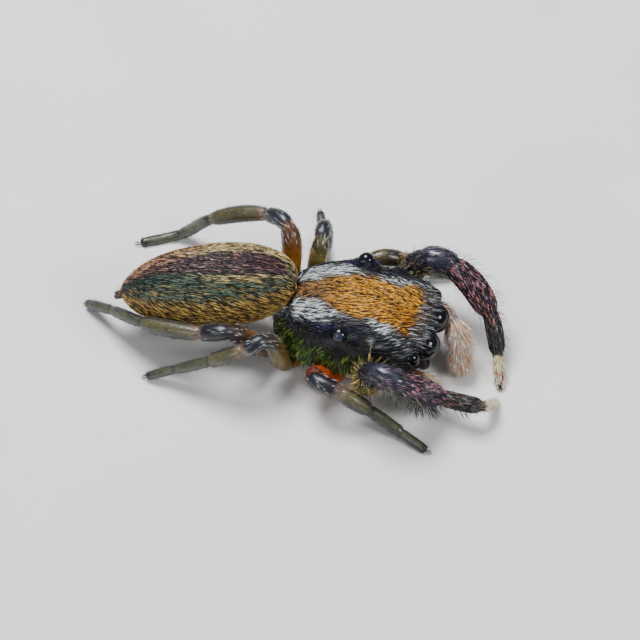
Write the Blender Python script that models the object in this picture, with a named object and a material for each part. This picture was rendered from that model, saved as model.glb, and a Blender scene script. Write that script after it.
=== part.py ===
# A male jumping spider at life size, standing with its front legs raised.
# +X points to the head, +Y to the spider's left and +Z up. The origin is the centre of its box on the floor.
# Every size here is in millimetres, and each finished mesh is scaled to metres once, at the end.

import math
import random
from functools import partial

import bmesh
import bpy
from mathutils import Matrix, Vector

MM = 0.001
GAP = 0.02
SIDES = {"left": 1, "right": -1}

# The shield over the front part of the body: place along it, half width, top and lower edge, and how far up
# its side it is widest, as a share of its height.
SHIELD_STATIONS = (
    (-1.27, 0.34, 0.86, 0.52, 0.40),
    (-1.12, 0.60, 1.06, 0.47, 0.26),
    (-0.86, 0.82, 1.28, 0.44, 0.17),
    (-0.45, 0.96, 1.42, 0.44, 0.15),
    (0.00, 1.00, 1.47, 0.45, 0.18),
    (0.45, 0.97, 1.46, 0.48, 0.22),
    (0.85, 0.93, 1.39, 0.54, 0.36),
    (1.12, 0.86, 1.29, 0.60, 0.42),
    (1.24, 0.74, 1.18, 0.68, 0.42),
)
SHIELD_SQUARENESS = 2.8
SHIELD_TIPS = ((-1.31, 0.70), (1.28, 0.92))

# The rear part of the body: share of its length from the rear, and share of its full thickness there.
ABDOMEN_STATIONS = (
    (0.015, 0.20),
    (0.05, 0.38),
    (0.13, 0.63),
    (0.28, 0.87),
    (0.46, 0.99),
    (0.62, 1.00),
    (0.77, 0.91),
    (0.88, 0.74),
    (0.955, 0.50),
    (0.99, 0.24),
)
ABDOMEN_CENTRE = Vector((-2.40, -0.15, 1.01))
ABDOMEN_LENGTH = 2.92
ABDOMEN_HALF_WIDTH = 0.72
ABDOMEN_HALF_HEIGHT = 0.60
ABDOMEN_YAW = 12.5
ABDOMEN_PITCH = 11.0
SPINNERET_LENGTH = 0.20
SPINNERET_RADIUS = 0.085

STERNUM_CENTRE = Vector((-0.16, 0.0, 0.33))
STERNUM_RADII = (0.98, 0.34, 0.135)
STALK_RADIUS = 0.10

# The four pairs of eyes: place of the left one, and radius.
EYES = {
    "eye_front_middle": ((1.300, 0.285, 0.920), 0.250),
    "eye_front_side": ((1.170, 0.665, 0.985), 0.145),
    "eye_small": ((0.560, 0.845, 1.265), 0.048),
    "eye_rear": ((0.000, 0.805, 1.350), 0.140),
}
EYE_SINK = 0.02

JAW_TOP = Vector((1.08, 0.185, 0.66))
JAW_TIP = Vector((1.27, 0.150, 0.15))
JAW_RADIUS = 0.165

# Palps: joints from the mouth outwards, and the radius at each.
PALP_JOINTS = {
    "left": ((0.92, 0.36, 0.40), (1.10, 0.56, 0.52), (1.37, 0.60, 0.82), (1.64, 0.36, 0.62), (1.82, 0.03, 0.28)),
    "right": ((0.92, -0.36, 0.38), (1.04, -0.52, 0.37), (1.22, -0.57, 0.44), (1.38, -0.54, 0.36), (1.52, -0.47, 0.20)),
}
PALP_RADII = (0.080, 0.095, 0.085, 0.085)
PALP_CORE_RADIUS = 0.100
# Rings of locks round each palp: share along it, locks in the ring and their length.
PALP_TIERS = ((0.12, 5, 0.27), (0.38, 6, 0.31), (0.64, 6, 0.31), (0.90, 5, 0.29))
PALP_LOCK_WIDTH = 0.085
PALP_LOCK_THICKNESS = 0.030
PALP_LOCK_LEAN = 24
LOCK_CLEARANCE = 0.03

# Length and thickest radius of each leg segment, from the front pair to the hind pair.
SEGMENTS = ("femur", "patella", "tibia", "metatarsus", "tarsus")
LEG_LENGTHS = {
    1: (0.97, 0.46, 0.95, 0.67, 0.60),
    2: (0.70, 0.50, 0.58, 0.64, 0.54),
    3: (0.99, 0.34, 0.68, 0.70, 0.60),
    4: (1.17, 0.50, 1.09, 0.83, 0.70),
}
LEG_RADII = {
    1: (0.225, 0.215, 0.225, 0.140, 0.085),
    2: (0.175, 0.155, 0.135, 0.100, 0.078),
    3: (0.165, 0.145, 0.125, 0.088, 0.074),
    4: (0.180, 0.150, 0.135, 0.095, 0.082),
}
# How thin a segment is at its two ends, as a share of its thickest radius.
SEGMENT_ENDS = {
    "femur": (0.66, 0.84),
    "patella": (0.86, 0.82),
    "tibia": (0.80, 0.72),
    "metatarsus": (0.92, 0.82),
    "tarsus": (0.98, 0.66),
}
COXA_RADII = {1: 0.170, 2: 0.150, 3: 0.145, 4: 0.155}

# Heading and pitch in degrees of each leg's segments, from the hip outwards. The last has a heading only,
# because its pitch is what brings the foot down to the floor.
LEG_POSES = {
    (1, "left"): ((50, 52), (-2, -4), (-31, -26), (-60, -33), -70),
    (1, "right"): ((-60, 59), (-6, -6), (38, -45), (2, -2), 70),
    (2, "left"): ((90, 55), (28, -8), (62, -58), (20, -20), -10),
    (2, "right"): ((-120, 32), (-17, -5), (0, -30), (-12, -22), -21),
    (3, "left"): ((89, 75), (98, -16), (103, -82), (108, -37), 112),
    (3, "right"): ((-135, 62), (-147, -18), (-170, -33), (-177, -33), -174),
    (4, "left"): ((115, 59), (148, -18), (178, -27), (-180, -47), -152),
    (4, "right"): ((-137, 47), (-178, -19), (170, -16), (150, -26), 153),
}
# The hair fringe under the front legs: locks along each of its two rows, their length and their width.
FRINGE = {"patella": (3, 0.20, 0.055), "tibia": (7, 0.25, 0.060), "metatarsus": (4, 0.18, 0.050)}
FRINGE_THICKNESS = 0.022
FRINGE_SPREAD = 34
FRINGE_LEAN = 40
FOOT_TUFT = (5, 0.17, 0.045)
LOCK_SIDES = 4
LOCK_SHARES = (0.0, 0.3, 0.6, 0.85)
LOCK_WIDTHS = (0.8, 1.0, 0.75, 0.4)

# Where each leg's thigh starts, and where its short first joint leaves the breast plate.
HIPS = {1: (0.50, 0.84, 0.34), 2: (0.00, 0.76, 0.32), 3: (-0.85, 0.84, 0.34), 4: (-1.20, 0.60, 0.35)}
COXA_ROOTS = {1: (0.50, 0.24, 0.33), 2: (0.00, 0.24, 0.31), 3: (-0.42, 0.24, 0.33), 4: (-0.86, 0.22, 0.33)}
FOOT_HEIGHT = 0.040
LEG_SIDES = 10
SEGMENT_SHARES = (0.0, 0.14, 0.34, 0.62, 0.86, 1.0)
COXA_SHARES = (0.0, 0.35, 0.72)

COLOURS = {
    "shield": (0.030, 0.022, 0.034),
    "abdomen": (0.150, 0.130, 0.080),
    "amber": (0.420, 0.150, 0.030),
    "olive": (0.180, 0.170, 0.080),
    "knee": (0.030, 0.030, 0.060),
    "front_leg": (0.030, 0.018, 0.040),
    "pale": (0.620, 0.480, 0.330),
    "eye": (0.004, 0.004, 0.006),
}


def clear_scene():
    for thing in list(bpy.data.objects):
        bpy.data.objects.remove(thing)


def make_material(name):
    made = bpy.data.materials.new(name)
    made.use_nodes = True
    surface = made.node_tree.nodes["Principled BSDF"]
    surface.inputs["Base Color"].default_value = (*COLOURS[name], 1.0)
    surface.inputs["Roughness"].default_value = 0.08 if name == "eye" else 0.45
    surface.inputs["Metallic"].default_value = 0.0
    return made


def reshaped_sphere(name, material, around, rows, place):
    """A UV sphere with every point moved: place(row, angle) says where, and the poles are the first and last row."""
    bm = bmesh.new()
    bmesh.ops.create_uvsphere(bm, u_segments=around, v_segments=rows, radius=1.0)
    for vert in bm.verts:
        row = round(math.acos(max(-1.0, min(1.0, -vert.co.z))) / math.pi * rows)
        vert.co = place(row, math.atan2(vert.co.y, vert.co.x))
    if bm.calc_volume(signed=True) < 0:
        bmesh.ops.reverse_faces(bm, faces=bm.faces)
    mesh = bpy.data.meshes.new(name)
    bm.to_mesh(mesh)
    bm.free()
    mesh.shade_smooth()
    mesh.materials.append(MATERIALS[material])
    made = bpy.data.objects.new(name, mesh)
    PARTS.objects.link(made)
    return made


def ball(name, material, centre, radii, around=14, rows=10):
    def place(row, angle):
        polar = math.pi * row / rows
        ring = math.sin(polar)
        return centre + Vector((
            radii[0] * ring * math.cos(angle),
            radii[1] * ring * math.sin(angle),
            -radii[2] * math.cos(polar),
        ))

    return reshaped_sphere(name, material, around, rows, place)


def tube(name, material, rings, around=LEG_SIDES):
    """A closed tube through rings of (centre, way ahead, side, radius), with flat ends."""
    def place(row, angle):
        centre, ahead, side, radius = rings[min(max(row - 1, 0), len(rings) - 1)]
        if row in (0, len(rings) + 1):
            return centre
        up = ahead.cross(side)
        return centre + radius * (side * math.cos(angle) + up * math.sin(angle))

    return reshaped_sphere(name, material, around, len(rings) + 1, place)


def lock(root, outward, along, length, width, thickness):
    """A flat tapered lock of hair that leaves along outward and bends over to lie along."""
    flat = outward.cross(along).normalized()
    rings = []
    for share, size in zip(LOCK_SHARES, LOCK_WIDTHS):
        ahead = outward.lerp(along, share * 0.8).normalized()
        centre = root + length * (outward * (share - 0.4 * share**2) + along * 0.4 * share**2)
        rings.append((centre, ahead.cross(flat).normalized(), width * size / 2, thickness * size / 2))
    tip = root + length * (outward * 0.6 + along * 0.4)

    def place(row, angle):
        if row == 0:
            return rings[0][0]
        if row > len(rings):
            return tip
        centre, up, half_width, half_thickness = rings[row - 1]
        return centre + flat * half_width * math.cos(angle) + up * half_thickness * math.sin(angle)

    return reshaped_sphere("lock", "pale", LOCK_SIDES, len(rings) + 1, place)


def fuse(piece, locks):
    """Joins the locks to the piece that they grow from, as one closed body."""
    folder = bpy.data.collections.new("locks")
    bpy.context.scene.collection.children.link(folder)
    for each in locks:
        PARTS.objects.unlink(each)
        folder.objects.link(each)
    join = piece.modifiers.new("join", "BOOLEAN")
    join.operation = "UNION"
    join.solver = "EXACT"
    join.operand_type = "COLLECTION"
    join.collection = folder
    apply_modifiers(piece)
    for each in locks:
        bpy.data.objects.remove(each)
    bpy.data.collections.remove(folder)


def cut_clear(piece, neighbour, gap=GAP):
    """Cuts from a piece all that lies in its neighbour or within the gap of it."""
    grown = neighbour.data.copy()
    normals = [vert.normal.copy() for vert in grown.vertices]
    for vert, normal in zip(grown.vertices, normals):
        vert.co += normal * gap
    cutter = bpy.data.objects.new("cutter", grown)
    cutter.display_type = "WIRE"
    cutter.hide_render = True
    CUTTERS.objects.link(cutter)
    cut = piece.modifiers.new("clear", "BOOLEAN")
    cut.operation = "DIFFERENCE"
    cut.solver = "MANIFOLD"
    cut.object = cutter
    apply_modifiers(piece)
    bpy.data.objects.remove(cutter)


def apply_modifiers(piece):
    graph = bpy.context.evaluated_depsgraph_get()
    result = bpy.data.meshes.new_from_object(piece.evaluated_get(graph))
    piece.modifiers.clear()
    piece.data = result
    keep_largest_body(piece)


def keep_largest_body(piece):
    bm = bmesh.new()
    bm.from_mesh(piece.data)
    unseen = set(bm.verts)
    bodies = []
    while unseen:
        body = {unseen.pop()}
        edge_of_body = list(body)
        while edge_of_body:
            vert = edge_of_body.pop()
            for edge in vert.link_edges:
                other = edge.other_vert(vert)
                if other in unseen:
                    unseen.discard(other)
                    body.add(other)
                    edge_of_body.append(other)
        bodies.append(body)
    bodies.sort(key=len)
    loose = [vert for body in bodies[:-1] for vert in body]
    bmesh.ops.delete(bm, geom=loose, context="VERTS")
    bm.to_mesh(piece.data)
    bm.free()


def cut_at_floor(piece):
    bm = bmesh.new()
    bm.from_mesh(piece.data)
    everything = bm.verts[:] + bm.edges[:] + bm.faces[:]
    bmesh.ops.bisect_plane(bm, geom=everything, plane_co=(0, 0, 0), plane_no=(0, 0, -1), clear_outer=True)
    rim = [edge for edge in bm.edges if edge.is_boundary]
    bmesh.ops.holes_fill(bm, edges=rim, sides=0)
    bm.to_mesh(piece.data)
    bm.free()


def way(heading, pitch):
    flat = math.cos(math.radians(pitch))
    return Vector((
        flat * math.cos(math.radians(heading)),
        flat * math.sin(math.radians(heading)),
        math.sin(math.radians(pitch)),
    ))


def curved_run(start, end, start_way, end_way, shares):
    """Points and directions along a cubic curve that leaves and arrives along the two given ways."""
    reach = (end - start).length
    points = []
    for s in shares:
        point = (
            start * (2 * s**3 - 3 * s**2 + 1)
            + start_way * reach * (s**3 - 2 * s**2 + s)
            + end * (3 * s**2 - 2 * s**3)
            + end_way * reach * (s**3 - s**2)
        )
        slope = (
            start * (6 * s**2 - 6 * s)
            + start_way * reach * (3 * s**2 - 4 * s + 1)
            + end * (6 * s - 6 * s**2)
            + end_way * reach * (3 * s**2 - 2 * s)
        )
        points.append((point, slope.normalized()))
    return points


def joint_ways(joints):
    """The direction through each joint, half way between the segments that meet there."""
    steps = [(after - before).normalized() for before, after in zip(joints, joints[1:])]
    middles = [(before + after).normalized() for before, after in zip(steps, steps[1:])]
    return [steps[0], *middles, steps[-1]]


def carry_side(side, ahead):
    """Turns the side direction as little as it takes to stand square to the way ahead."""
    return (side - ahead * side.dot(ahead)).normalized()


def build_shield():
    stations = SHIELD_STATIONS
    last = len(stations) + 1

    def place(row, angle):
        if row in (0, last):
            x, z = SHIELD_TIPS[row == last]
            return Vector((x, 0, z))
        x, half_width, top, bottom, widest = stations[row - 1]
        waist = bottom + widest * (top - bottom)
        across = math.copysign(abs(math.cos(angle)) ** (2 / SHIELD_SQUARENESS), math.cos(angle))
        upward = math.copysign(abs(math.sin(angle)) ** (2 / SHIELD_SQUARENESS), math.sin(angle))
        reach = top - waist if upward > 0 else waist - bottom
        return Vector((x, half_width * across, waist + reach * upward))

    return reshaped_sphere("carapace", "shield", 28, last, place)


def abdomen_place(share, out_y, out_z):
    """A point of the abdomen, from the share of its length and the thicknesses to the side and up."""
    point = Vector((ABDOMEN_LENGTH * (share - 0.5), out_y, out_z))
    turn = Matrix.Rotation(math.radians(ABDOMEN_YAW), 3, "Z") @ Matrix.Rotation(math.radians(-ABDOMEN_PITCH), 3, "Y")
    return ABDOMEN_CENTRE + turn @ point


def build_abdomen():
    last = len(ABDOMEN_STATIONS) + 1

    def place(row, angle):
        if row in (0, last):
            return abdomen_place(row == last, 0, 0)
        share, thickness = ABDOMEN_STATIONS[row - 1]
        return abdomen_place(
            share,
            ABDOMEN_HALF_WIDTH * thickness * math.cos(angle),
            ABDOMEN_HALF_HEIGHT * thickness * math.sin(angle),
        )

    return reshaped_sphere("abdomen", "abdomen", 24, last, place)


def straight_tube(name, material, start, end, radii, around=LEG_SIDES):
    ahead = (end - start).normalized()
    side = ahead.orthogonal().normalized()
    last = len(radii) - 1
    rings = [
        (start.lerp(end, index / last), ahead, side, radius)
        for index, radius in enumerate(radii)
    ]
    return tube(name, material, rings, around)


def build_spinnerets(abdomen):
    root = abdomen_place(0.04, 0, -0.03)
    tip = abdomen_place(-SPINNERET_LENGTH / ABDOMEN_LENGTH + 0.015, 0, -0.08)
    radii = (SPINNERET_RADIUS, SPINNERET_RADIUS, SPINNERET_RADIUS * 0.8, SPINNERET_RADIUS * 0.35)
    made = straight_tube("spinnerets", "knee", root, tip, radii)
    cut_clear(made, abdomen)


def build_stalk(shield, sternum, abdomen):
    root = Vector((STERNUM_CENTRE.x - STERNUM_RADII[0] + 0.10, 0, STERNUM_CENTRE.z + 0.02))
    tip = abdomen_place(0.80, 0, -0.30)
    made = straight_tube("waist_stalk", "shield", root, tip, (STALK_RADIUS,) * 4)
    for neighbour in (shield, sternum, abdomen):
        cut_clear(made, neighbour)


def mirrored(point, side):
    return Vector((point[0], point[1] * SIDES[side], point[2]))


def build_eyes(shield):
    eyes = []
    for name, (centre, radius) in EYES.items():
        for side in SIDES:
            around, rows = (16, 10) if radius > 0.1 else (8, 6)
            middle = mirrored(centre, side)
            eye = ball(f"{name}_{side}", "eye", middle, (radius,) * 3, around, rows)
            cut_clear(shield, eye, EYE_SINK)
            eyes.append(eye)
    return eyes


def build_jaws(shield, eyes):
    for side in SIDES:
        start = mirrored(JAW_TOP, side)
        end = mirrored(JAW_TIP, side)
        radii = (JAW_RADIUS * 0.9, JAW_RADIUS, JAW_RADIUS * 0.98, JAW_RADIUS * 0.8, JAW_RADIUS * 0.45)
        jaw = straight_tube(f"chelicera_{side}", "shield", start, end, radii, 12)
        for neighbour in (shield, *eyes[:2]):
            cut_clear(jaw, neighbour)
        JAWS.append(jaw)


def build_palps(shield):
    for side in SIDES:
        joints = [Vector(point) for point in PALP_JOINTS[side]]
        ways = joint_ways(joints)
        side_way = carry_side(Vector((0, 0, 1)), ways[0])
        rings = []
        for index in range(3):
            shares = (0.0, 0.35, 0.7) if index < 2 else (0.0, 0.35, 0.7, 1.0)
            run = curved_run(joints[index], joints[index + 1], ways[index], ways[index + 1], shares)
            for share, (point, ahead) in zip(shares, run):
                side_way = carry_side(side_way, ahead)
                radius = PALP_RADII[index] * (1 - share) + PALP_RADII[index + 1] * share
                rings.append([point, ahead, side_way, radius])
        rings[-1][0] = rings[-1][0] - rings[-1][1] * GAP / 2
        upper = tube(f"palp_{side}_arm", "pale", rings, 8)
        for jaw in JAWS:
            cut_clear(upper, jaw)
        cut_clear(upper, shield)
        start = joints[3] + ways[3] * GAP / 2
        shares = (0.0, 0.12, 0.35, 0.6, 0.85, 1.0)
        swell = (0.80, 0.92, 1.0, 0.95, 0.70, 0.35)
        rings = []
        for (point, ahead), size in zip(curved_run(start, joints[4], ways[3], ways[4], shares), swell):
            side_way = carry_side(side_way, ahead)
            rings.append((point, ahead, side_way, PALP_CORE_RADIUS * size))
        brush = tube(f"palp_{side}_brush", "pale", rings, 10)
        locks = []
        for share, count, length in PALP_TIERS:
            [(point, ahead)] = curved_run(start, joints[4], ways[3], ways[4], (share,))
            side_way = carry_side(side_way, ahead)
            for index in range(count):
                angle = TURN * (index + 0.5 * share / 0.22 + DRAW.uniform(-0.12, 0.12)) / count
                out = side_way * math.cos(angle) + ahead.cross(side_way) * math.sin(angle)
                lean = math.radians(PALP_LOCK_LEAN + DRAW.uniform(-5, 5))
                aim = ahead * math.cos(lean) + out * math.sin(lean)
                root = point + out * PALP_CORE_RADIUS * 0.45
                drop = max(0.01, -0.6 * aim.z - 0.4 * ahead.z)
                reach = min(length * DRAW.uniform(0.88, 1.1), (root.z - LOCK_CLEARANCE) / drop)
                locks.append(lock(root, aim, ahead, reach, PALP_LOCK_WIDTH, PALP_LOCK_THICKNESS))
        fuse(brush, locks)


def leg_joints(pair, side):
    """The joints of one leg, from the hip to the foot, from its lengths, headings and pitches."""
    joints = [mirrored(HIPS[pair], side)]
    *aims, last_heading = LEG_POSES[pair, side]
    for length, (heading, pitch) in zip(LEG_LENGTHS[pair], aims):
        joints.append(joints[-1] + way(heading, pitch) * length)
    length = LEG_LENGTHS[pair][-1]
    pitch = math.degrees(math.asin(max(-1.0, (FOOT_HEIGHT - joints[-1].z) / length)))
    joints.append(joints[-1] + way(last_heading, pitch) * length)
    return joints


def segment_radius(pair, index, share):
    """The radius along a segment, which swells between its two ends."""
    first, last = SEGMENT_ENDS[SEGMENTS[index]]
    ends = first + (last - first) * share
    swell = math.sin(math.pi * share) ** 0.6
    return LEG_RADII[pair][index] * (ends + (1 - ends) * swell)


def segment_material(pair, segment):
    if pair == 1:
        return "pale" if segment == "tarsus" else "front_leg"
    return {"femur": "amber", "patella": "knee"}.get(segment, "olive")


def coxa_rings(pair, side, joints, ways):
    root = mirrored(COXA_ROOTS[pair], side)
    outward = (joints[0] - root).normalized()
    narrow = segment_radius(pair, 0, 0)
    run = curved_run(root, joints[0], outward, (outward * 2 + ways[0]).normalized(), COXA_SHARES)
    return [
        (point, ahead, COXA_RADII[pair] * (1 - share) + narrow * share)
        for share, (point, ahead) in zip(COXA_SHARES, run)
    ]


def hair_fringe(segment, pair, side, run_of):
    """Two rows of locks along the underside of a segment, leaning towards the foot."""
    count, length, width = FRINGE[segment]
    index = SEGMENTS.index(segment)
    inward = Vector((0, -SIDES[side], 0))
    locks = []
    for row in (-1, 1):
        for number in range(count):
            share = (number + 0.75 + 0.25 * row) / (count + 0.5)
            [(point, ahead)] = run_of((share,))
            under = carry_side(Vector((0, 0, -1)) + inward * 0.35, ahead)
            spread = math.radians(FRINGE_SPREAD * row + DRAW.uniform(-6, 6))
            out = under * math.cos(spread) + ahead.cross(under) * math.sin(spread)
            lean = math.radians(FRINGE_LEAN + DRAW.uniform(-6, 6))
            aim = out * math.cos(lean) + ahead * math.sin(lean)
            root = point + out * segment_radius(pair, index, share) * 0.62
            reach = length * DRAW.uniform(0.85, 1.12)
            locks.append(lock(root, aim, ahead, reach, width, FRINGE_THICKNESS))
    return locks


def foot_tuft(pair, run_of):
    """Hair round the end of a foot, clear of the floor."""
    count, length, width = FOOT_TUFT
    [(point, ahead)] = run_of((0.86,))
    upward = carry_side(Vector((0, 0, 1)), ahead)
    locks = []
    for index in range(count):
        angle = math.radians(-100 + 200 * index / (count - 1))
        out = upward * math.cos(angle) + ahead.cross(upward) * math.sin(angle)
        aim = (ahead * 0.9 + out * 0.5 + Vector((0, 0, 0.25))).normalized()
        root = point + out * segment_radius(pair, 4, 0.86) * 0.5
        locks.append(lock(root, aim, ahead, length, width, FRINGE_THICKNESS))
    return locks


def build_leg(pair, side, shield, sternum):
    joints = leg_joints(pair, side)
    ways = joint_ways(joints)
    outward = (joints[0] - mirrored(COXA_ROOTS[pair], side)).normalized()
    ways[0] = (outward + ways[0]).normalized()
    side_way = None
    for index, segment in enumerate(SEGMENTS):
        start = joints[index] + ways[index] * (GAP / 2 if index else 0)
        end = joints[index + 1] - ways[index + 1] * (GAP / 2 if index < 4 else 0)
        run_of = partial(curved_run, start, end, ways[index], ways[index + 1])
        path = [
            (point, ahead, segment_radius(pair, index, share))
            for share, (point, ahead) in zip(SEGMENT_SHARES, run_of(SEGMENT_SHARES))
        ]
        if index == 0:
            path = coxa_rings(pair, side, joints, ways) + path
        rings = []
        for point, ahead, radius in path:
            side_way = carry_side(side_way or Vector((1, 0, 0)), ahead)
            rings.append((point, ahead, side_way, radius))
        piece = tube(f"leg_{pair}_{side}_{segment}", segment_material(pair, segment), rings)
        if index == 0:
            cut_clear(piece, sternum)
            cut_clear(piece, shield)
        if pair == 1 and segment in FRINGE:
            fuse(piece, hair_fringe(segment, pair, side, run_of))
        if index == len(SEGMENTS) - 1:
            if pair == 1:
                fuse(piece, foot_tuft(pair, run_of))
            cut_at_floor(piece)


def centre_and_scale():
    """Moves the centre of the whole box over the origin, and turns millimetres into metres."""
    corners = [vert.co for piece in PARTS.objects for vert in piece.data.vertices]
    low, high = ([pick(corner[axis] for corner in corners) for axis in range(3)] for pick in (min, max))
    middle = Vector(((low[0] + high[0]) / 2, (low[1] + high[1]) / 2, 0))
    for piece in PARTS.objects:
        for vert in piece.data.vertices:
            vert.co = (vert.co - middle) * MM
        piece.data.update()


clear_scene()
PARTS = bpy.data.collections.new("jumping_spider")
CUTTERS = bpy.data.collections.new("cutters")
for folder in (PARTS, CUTTERS):
    bpy.context.scene.collection.children.link(folder)
MATERIALS = {name: make_material(name) for name in COLOURS}
JAWS = []
DRAW = random.Random(6)
TURN = 2 * math.pi

carapace = build_shield()
breast_plate = ball("sternum", "amber", STERNUM_CENTRE, STERNUM_RADII, 20, 8)
rear_body = build_abdomen()
cut_clear(rear_body, carapace)
eye_pieces = build_eyes(carapace)
build_spinnerets(rear_body)
build_stalk(carapace, breast_plate, rear_body)
build_jaws(carapace, eye_pieces)
build_palps(carapace)
for leg_pair in LEG_LENGTHS:
    for body_side in SIDES:
        build_leg(leg_pair, body_side, carapace, breast_plate)
centre_and_scale()
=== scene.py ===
"""Looks of a male jumping spider at life size: about 5.5 mm of body, standing with its front legs raised."""
import math

import bmesh
import bpy
import numpy as np
from mathutils import Matrix, Vector


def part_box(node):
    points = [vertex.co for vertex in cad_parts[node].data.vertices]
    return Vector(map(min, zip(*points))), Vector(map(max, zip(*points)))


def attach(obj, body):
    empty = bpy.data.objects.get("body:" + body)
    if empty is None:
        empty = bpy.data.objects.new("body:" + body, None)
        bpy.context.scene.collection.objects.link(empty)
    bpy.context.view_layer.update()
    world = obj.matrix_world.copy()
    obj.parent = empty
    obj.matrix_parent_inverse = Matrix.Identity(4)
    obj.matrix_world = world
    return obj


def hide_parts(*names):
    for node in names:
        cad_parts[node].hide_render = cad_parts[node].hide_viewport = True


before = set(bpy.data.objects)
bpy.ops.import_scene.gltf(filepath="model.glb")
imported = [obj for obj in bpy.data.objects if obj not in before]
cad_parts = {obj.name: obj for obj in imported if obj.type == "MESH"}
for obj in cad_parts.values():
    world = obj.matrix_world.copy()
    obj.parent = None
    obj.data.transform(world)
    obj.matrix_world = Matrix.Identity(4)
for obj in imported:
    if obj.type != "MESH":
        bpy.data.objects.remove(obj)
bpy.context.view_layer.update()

# The camera looks down on the spider's right side from a little ahead of square on, through a long lens
# as for close-up work. Places in this file are in millimetres, from the floor below the rear eyes' midpoint.
MM = 0.001
TURN = 2 * math.pi
VIEW_TURN = math.radians(16)
VIEW_HEIGHT = math.radians(52)
VIEW_WIDTH = 10.49
VIEW_CENTRE = (-0.541, 0.469)
VIEW_DISTANCE = 150.0
FILM = 36.0
rear_eyes = [np.array(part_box(f"eye_rear_{side}")).mean(axis=0) for side in ("left", "right")]
HOME = (rear_eyes[0] + rear_eyes[1]) / 2 * (1, 1, 0)


def in_metres(points):
    return np.asarray(points) * MM + HOME


to_camera = Vector((
    math.sin(VIEW_TURN) * math.cos(VIEW_HEIGHT),
    -math.cos(VIEW_TURN) * math.cos(VIEW_HEIGHT),
    math.sin(VIEW_HEIGHT),
))
to_right = Vector((math.cos(VIEW_TURN), math.sin(VIEW_TURN), 0))
to_top = to_camera.cross(to_right)
middle = to_right * VIEW_CENTRE[0] + to_top * VIEW_CENTRE[1]
film = bpy.data.cameras.new("camera")
film.lens = FILM * VIEW_DISTANCE / VIEW_WIDTH
film.sensor_width = FILM
film.clip_start = 0.005
film.clip_end = 2.0
camera = bpy.data.objects.new("camera", film)
camera.matrix_world = Matrix((to_right, to_top, to_camera)).transposed().to_4x4()
camera.location = Vector(in_metres(middle + to_camera * VIEW_DISTANCE))
bpy.context.scene.collection.objects.link(camera)
bpy.context.scene.camera = camera

# The shield over the front of the body is one stiff dark shell, high and square, with the eyes along its
# front and sides. A flat coat of scales covers its top: golden, edged with white, on glossy black.
SHIELD_TABLE = np.array((
    (-1.31, 0.00, 0.70, 0.70, 0.40),
    (-1.27, 0.34, 0.86, 0.52, 0.40),
    (-1.12, 0.60, 1.06, 0.47, 0.26),
    (-0.86, 0.82, 1.28, 0.44, 0.17),
    (-0.45, 0.96, 1.42, 0.44, 0.15),
    (0.00, 1.00, 1.47, 0.45, 0.18),
    (0.45, 0.97, 1.46, 0.48, 0.22),
    (0.85, 0.93, 1.39, 0.54, 0.36),
    (1.12, 0.86, 1.29, 0.60, 0.42),
    (1.24, 0.74, 1.18, 0.68, 0.42),
    (1.28, 0.00, 0.92, 0.92, 0.42),
))
SHIELD_SQUARENESS = 2.8
SKIN_DEPTH = 0.02
# Low mounds that carry the rear and the small eyes: place on the left, way out, height and size.
EYE_MOUNDS = (
    ((0.00, 0.805, 1.350), (0.78, 0.62), 0.178, 0.25),
    ((0.56, 0.845, 1.265), (0.80, 0.60), 0.130, 0.14),
)


def smooth_through(stations, values, at):
    """A smooth curve through the rows of a table, read at the places between its stations."""
    slopes = np.gradient(values, stations, axis=0)
    left = np.clip(np.searchsorted(stations, at) - 1, 0, len(stations) - 2)
    step = (stations[left + 1] - stations[left])[:, None]
    s = (at - stations[left])[:, None] / step
    return (
        (2 * s**3 - 3 * s**2 + 1) * values[left]
        + (s**3 - 2 * s**2 + s) * step * slopes[left]
        + (3 * s**2 - 2 * s**3) * values[left + 1]
        + (s**3 - s**2) * step * slopes[left + 1]
    )


def chord_shares(table):
    """How far along its profile each row of a table lies, with short steps stretched a little."""
    steps = np.linalg.norm(np.diff(table, axis=0), axis=1) ** 0.6
    run = np.concatenate(([0], np.cumsum(steps)))
    return run / run[-1]


shield_shares = chord_shares(SHIELD_TABLE)


def signed_power(value, power):
    """A power that keeps the sign, which squares off a round section."""
    return np.sign(value) * np.abs(value) ** power


def shield_surface(share, angle):
    """Points of the shield, by the share of its length from the rear and the angle round it."""
    x, half_width, top, bottom, widest = smooth_through(shield_shares, SHIELD_TABLE, share).T
    waist = bottom + widest * (top - bottom)
    across = signed_power(np.cos(angle), 2 / SHIELD_SQUARENESS)
    upward = signed_power(np.sin(angle), 2 / SHIELD_SQUARENESS)
    reach = np.where(upward > 0, top - waist, waist - bottom)
    inset = 1 - SKIN_DEPTH
    y, z = half_width * across * inset, waist + reach * upward * inset
    for (ahead, aside, up), (out_y, out_z), height, wide in EYE_MOUNDS:
        gap = (x - ahead) ** 2 + (np.abs(y) - aside) ** 2 + (z - up) ** 2
        bump = height * np.exp(-gap / wide**2)
        y, z = y + np.sign(y) * out_y * bump, z + out_z * bump
    return np.stack((x * inset, y, z), axis=1)


def paint(red, green, blue):
    """A colour as the screen's 0 to 255, turned into light."""
    parts = np.array((red, green, blue)) / 255
    return np.where(parts < 0.04045, parts / 12.92, ((parts + 0.055) / 1.055) ** 2.4)


def band(value, start, end):
    """0 before start, 1 past end, and a smooth step between."""
    share = np.clip((value - start) / (end - start), 0, 1)
    return share * share * (3 - 2 * share)


def layer(under, over, mask):
    """One colour over another, as far as the mask lets it show."""
    return under + (over - under) * mask[:, None]


def ripple(points, scale, seed=0.0):
    """Slow waves over a surface, from -1 to 1, which break up edges and turn hairs a little."""
    x, y, z = points.T * scale
    return (
        np.sin(1.7 * x + 2.3 * y + seed) + np.sin(2.9 * y - 1.3 * z + 1.7 * seed)
        + np.sin(2.1 * z + 3.1 * x - 0.7 * seed)
    ) / 3


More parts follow.
